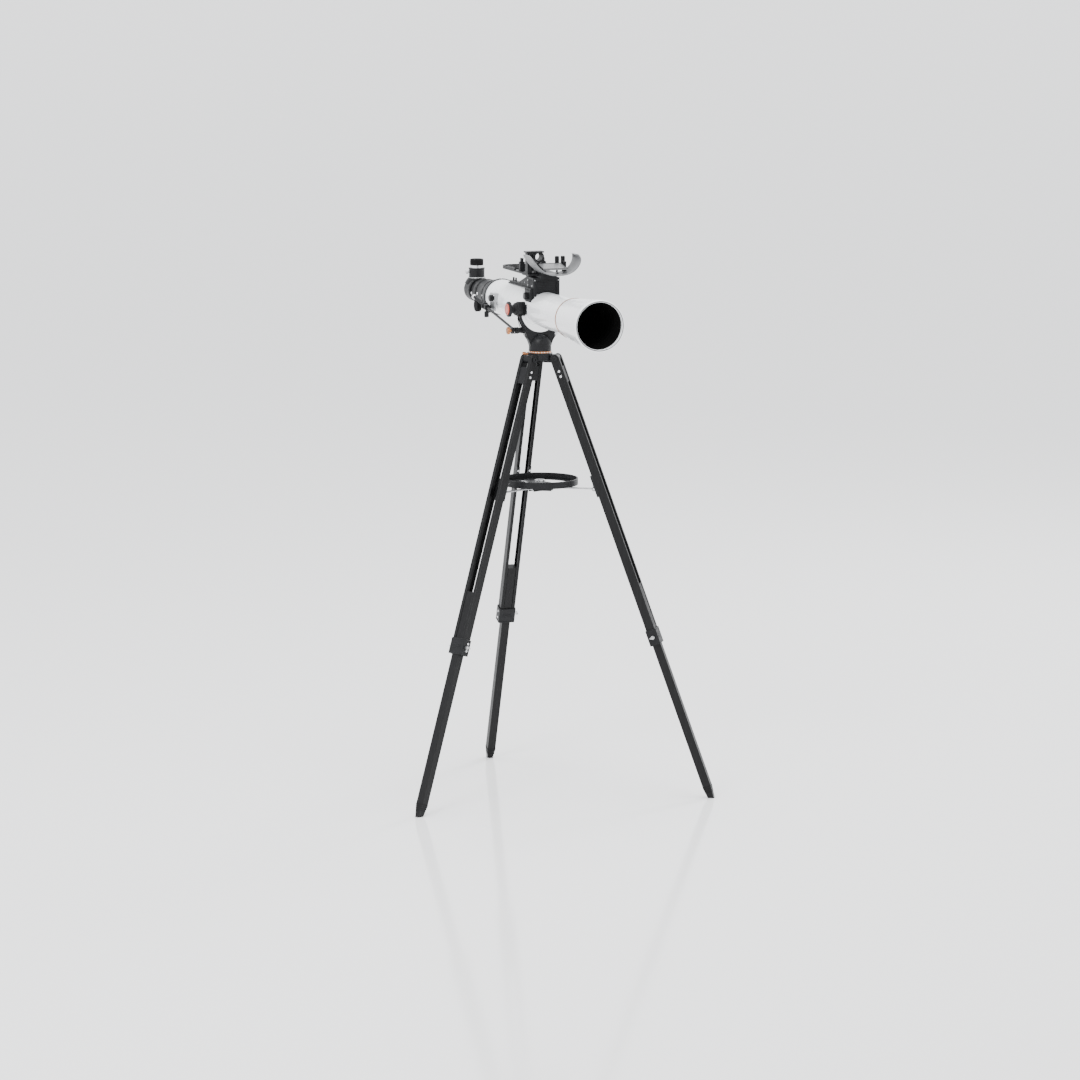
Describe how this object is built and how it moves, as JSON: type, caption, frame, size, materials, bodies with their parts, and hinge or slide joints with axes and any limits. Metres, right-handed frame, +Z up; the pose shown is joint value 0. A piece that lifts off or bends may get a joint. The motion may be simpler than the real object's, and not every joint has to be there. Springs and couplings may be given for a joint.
{
  "type": "refractor telescope on tripod",
  "caption": "Long white refractor telescope on a black yoke alt-azimuth mount and extending three-leg tripod with a ring tray, slow-motion rod, star diagonal and phone dock.",
  "frame": {"origin": "the floor point below the azimuth axis, midway between the feet", "axes": "+Z up; the level tube points its objective along -Y; the altitude axis lies along X"},
  "size_m": [0.7549, 0.9365, 1.32],
  "materials": {
    "anodised_black": "satin",
    "black_plastic": "fine texture",
    "soft_black": "matte",
    "gloss_white": "gloss",
    "copper": "satin metallic",
    "coral": "gloss",
    "bright_screw": "polished",
    "grey_metal": "brushed",
    "inner_black": "flocked matte",
    "lens_glass": "coated",
    "hood_grey": "smoked",
    "mirror_silver": "first-surface mirror"
  },
  "bodies": {
    "stand": {"tripod_head": "black_plastic", "hinge_pins": "black_plastic", "azimuth_ring": "copper"},
    "azimuth_lock": {"azimuth_lock": "copper"},
    "accessory_tray": {"tray": "black_plastic", "tray_fasteners": "grey_metal"},
    "yoke": {"yoke": "black_plastic", "yoke_screws": "bright_screw"},
    "optical_tube": {"main_tube": "gloss_white", "accent_ring": "copper", "dew_shield": "gloss_white", "lens_cell": "inner_black", "objective_lens": "lens_glass", "trunnions": "black_plastic", "focuser_body": "black_plastic", "rod_bracket": "grey_metal", "dock_base": "black_plastic", "phone_tray": "black_plastic", "sight_frame": "black_plastic", "mirror_hood": "hood_grey", "pick_up_mirror": "mirror_silver"},
    "altitude_knob_left": {"altitude_knob_left": "black_plastic", "knob_cap_left": "coral"},
    "altitude_knob_right": {"altitude_knob_right": "black_plastic", "knob_cap_right": "coral"},
    "slow_rod": {"slow_rod": "black_plastic", "rod_cap": "bright_screw"},
    "draw_tube": {"draw_tube": "bright_screw"},
    "diagonal": {"diagonal_body": "black_plastic"},
    "eyepiece": {"eyepiece_barrel": "bright_screw", "eyepiece_body": "soft_black"},
    "rod_wheel": {"rod_wheel": "black_plastic"},
    "swivel_knob": {"swivel_knob": "black_plastic"},
    "bracket_knob": {"bracket_knob": "black_plastic"},
    "rod_clamp": {"rod_clamp": "black_plastic"},
    "rod_lock_knob": {"rod_lock_knob": "copper"},
    "focus_knobs": {"focus_knobs": "soft_black"},
    "diagonal_screw": {"diagonal_screw": "bright_screw"},
    "dock_knob": {"dock_knob": "black_plastic"},
    "tray_clamp": {"tray_clamp": "black_plastic"},
    "adjust_knob_left": {"adjust_knob_left": "black_plastic"},
    "adjust_knob_right": {"adjust_knob_right": "black_plastic"},
    "leg_1": {"rails_1": "anodised_black", "leg_fittings_1": "black_plastic", "leg_bolts_1": "bright_screw"},
    "inner_leg_1": {"inner_leg_1": "anodised_black"},
    "lock_knob_1": {"lock_knob_1": "grey_metal"},
    "brace_arm_1": {"brace_arm_1": "grey_metal"},
    "leg_2": {"rails_2": "anodised_black", "leg_fittings_2": "black_plastic", "leg_bolts_2": "bright_screw"},
    "inner_leg_2": {"inner_leg_2": "anodised_black"},
    "lock_knob_2": {"lock_knob_2": "grey_metal"},
    "brace_arm_2": {"brace_arm_2": "grey_metal"},
    "leg_3": {"rails_3": "anodised_black", "leg_fittings_3": "black_plastic", "leg_bolts_3": "bright_screw"},
    "inner_leg_3": {"inner_leg_3": "anodised_black"},
    "lock_knob_3": {"lock_knob_3": "grey_metal"},
    "brace_arm_3": {"brace_arm_3": "grey_metal"}
  },
  "joints": [
    {"name": "azimuth", "type": "hinge", "parent": "stand", "child": "yoke", "pos_m": [0, 0, 1.078], "axis": [0, 0, 1], "continuous": true},
    {"name": "azimuth_lock_turn", "type": "hinge", "parent": "stand", "child": "azimuth_lock", "pos_m": [-0.02954, 0.00521, 1.0694], "axis": [-0.9848, 0.1736, 0], "continuous": true},
    {"name": "altitude", "type": "hinge", "parent": "yoke", "child": "optical_tube", "pos_m": [0, 0, 1.18], "axis": [-1, 0, 0], "range_deg": [-10, 40]},
    {"name": "altitude_knob_left_turn", "type": "hinge", "parent": "optical_tube", "child": "altitude_knob_left", "pos_m": [-0.07, 0, 1.18], "axis": [-1, 0, 0], "continuous": true},
    {"name": "altitude_knob_right_turn", "type": "hinge", "parent": "optical_tube", "child": "altitude_knob_right", "pos_m": [0.07, 0, 1.18], "axis": [1, 0, 0], "continuous": true},
    {"name": "rod_swing", "type": "hinge", "parent": "optical_tube", "child": "slow_rod", "pos_m": [-0.062, 0.222, 1.1635], "axis": [-1, 0, 0], "range_deg": [-0.6, 2.3]},
    {"name": "rod_clamp_swivel", "type": "hinge", "parent": "yoke", "child": "rod_clamp", "pos_m": [-0.062, 0.005, 1.128], "axis": [-1, 0, 0], "range_deg": [-11, 43]},
    {"name": "rod_wheel_turn", "type": "hinge", "parent": "slow_rod", "child": "rod_wheel", "pos_m": [-0.062, 0.2294, 1.16471], "axis": [0, 0.9869, 0.1614], "continuous": true},
    {"name": "swivel_knob_turn", "type": "hinge", "parent": "slow_rod", "child": "swivel_knob", "pos_m": [-0.062, 0.222, 1.145], "axis": [0, 0, -1], "continuous": true},
    {"name": "bracket_knob_turn", "type": "hinge", "parent": "optical_tube", "child": "bracket_knob", "pos_m": [-0.055, 0.204, 1.187], "axis": [-1, 0, 0], "continuous": true},
    {"name": "rod_lock_turn", "type": "hinge", "parent": "rod_clamp", "child": "rod_lock_knob", "pos_m": [-0.078, 0.005, 1.128], "axis": [-1, 0, 0], "continuous": true},
    {"name": "focus_slide", "type": "slide", "parent": "optical_tube", "child": "draw_tube", "axis": [0, 1, 0], "range_m": [0, 0.06]},
    {"name": "focus_turn", "type": "hinge", "parent": "optical_tube", "child": "focus_knobs", "pos_m": [0, 0.34, 1.155], "axis": [1, 0, 0], "range_deg": [-580, 5]},
    {"name": "diagonal_turn", "type": "hinge", "parent": "draw_tube", "child": "diagonal", "pos_m": [0, 0.45, 1.18], "axis": [0, 1, 0], "continuous": true},
    {"name": "eyepiece_slide", "type": "slide", "parent": "diagonal", "child": "eyepiece", "axis": [0, 0, 1], "range_m": [0, 0.05]},
    {"name": "diagonal_screw_turn", "type": "hinge", "parent": "diagonal", "child": "diagonal_screw", "pos_m": [-0.022, 0.488, 1.224], "axis": [-1, 0, 0], "continuous": true},
    {"name": "dock_knob_turn", "type": "hinge", "parent": "optical_tube", "child": "dock_knob", "pos_m": [-0.0405, -0.023, 1.213], "axis": [-1, 0, 0], "continuous": true},
    {"name": "tray_clamp_slide", "type": "slide", "parent": "optical_tube", "child": "tray_clamp", "axis": [0, 1, 0], "range_m": [0, 0.035]},
    {"name": "adjust_left_turn", "type": "hinge", "parent": "optical_tube", "child": "adjust_knob_left", "pos_m": [0.0305, -0.036, 1.295], "axis": [0, 0, 1], "continuous": true},
    {"name": "adjust_right_turn", "type": "hinge", "parent": "optical_tube", "child": "adjust_knob_right", "pos_m": [0.0455, -0.036, 1.295], "axis": [0, 0, 1], "continuous": true},
    {"name": "leg_fold_1", "type": "hinge", "parent": "stand", "child": "leg_1", "pos_m": [0.00098, 0.03999, 1.06], "axis": [-0.9997, 0.0244, 0], "range_deg": [0, 3.5]},
    {"name": "leg_slide_1", "type": "slide", "parent": "leg_1", "child": "inner_leg_1", "axis": [0.0083, 0.3413, -0.9399], "range_m": [-0.35, 0.03]},
    {"name": "lock_knob_1_turn", "type": "hinge", "parent": "leg_1", "child": "lock_knob_1", "pos_m": [0.0369, 0.28208, 0.39125], "axis": [0.9997, -0.0244, 0], "continuous": true},
    {"name": "brace_fold_1", "type": "hinge", "parent": "leg_1", "child": "brace_arm_1", "pos_m": [0.00329, 0.13476, 0.7465], "axis": [-0.9997, 0.0244, 0], "range_deg": [0, 31]},
    {"name": "leg_fold_2", "type": "hinge", "parent": "stand", "child": "leg_2", "pos_m": [0.03414, -0.02084, 1.06], "axis": [0.521, 0.8536, 0], "range_deg": [0, 3.5]},
    {"name": "leg_slide_2", "type": "slide", "parent": "leg_2", "child": "inner_leg_2", "axis": [0.2914, -0.1779, -0.9399], "range_m": [-0.35, 0.03]},
    {"name": "lock_knob_2_turn", "type": "hinge", "parent": "leg_2", "child": "lock_knob_2", "pos_m": [0.2571, -0.12179, 0.39125], "axis": [0.521, 0.8536, 0], "continuous": true},
    {"name": "brace_fold_2", "type": "hinge", "parent": "leg_2", "child": "brace_arm_2", "pos_m": [0.11506, -0.07023, 0.7465], "axis": [0.521, 0.8536, 0], "range_deg": [0, 31]},
    {"name": "leg_fold_3", "type": "hinge", "parent": "stand", "child": "leg_3", "pos_m": [-0.03512, -0.01915, 1.06], "axis": [0.4787, -0.878, 0], "range_deg": [0, 3.5]},
    {"name": "leg_slide_3", "type": "slide", "parent": "leg_3", "child": "inner_leg_3", "axis": [-0.2997, -0.1634, -0.9399], "range_m": [-0.35, 0.03]},
    {"name": "lock_knob_3_turn", "type": "hinge", "parent": "leg_3", "child": "lock_knob_3", "pos_m": [-0.26274, -0.10908, 0.39125], "axis": [-0.4787, 0.878, 0], "continuous": true},
    {"name": "brace_fold_3", "type": "hinge", "parent": "leg_3", "child": "brace_arm_3", "pos_m": [-0.11835, -0.06453, 0.7465], "axis": [0.4787, -0.878, 0], "range_deg": [0, 31]},
    {"name": "tray_lift", "type": "slide", "parent": "stand", "child": "accessory_tray", "axis": [0, 0, 1], "range_m": [0, 0.0587]}
  ],
  "couplings": [
    {"joint": "rod_swing", "follows": "altitude", "ratio": 0.051},
    {"joint": "rod_clamp_swivel", "follows": "altitude", "ratio": 1.051},
    {"joint": "focus_turn", "follows": "focus_slide", "rad_per_m": -166.67},
    {"joint": "brace_fold_1", "follows": "leg_fold_1", "ratio": 8.6347},
    {"joint": "brace_fold_2", "follows": "leg_fold_1", "ratio": 8.6347},
    {"joint": "leg_fold_2", "follows": "leg_fold_1", "ratio": 1},
    {"joint": "brace_fold_3", "follows": "leg_fold_1", "ratio": 8.6347},
    {"joint": "leg_fold_3", "follows": "leg_fold_1", "ratio": 1},
    {"joint": "tray_lift", "follows": "leg_fold_1", "m_per_rad": 0.95814}
  ]
}
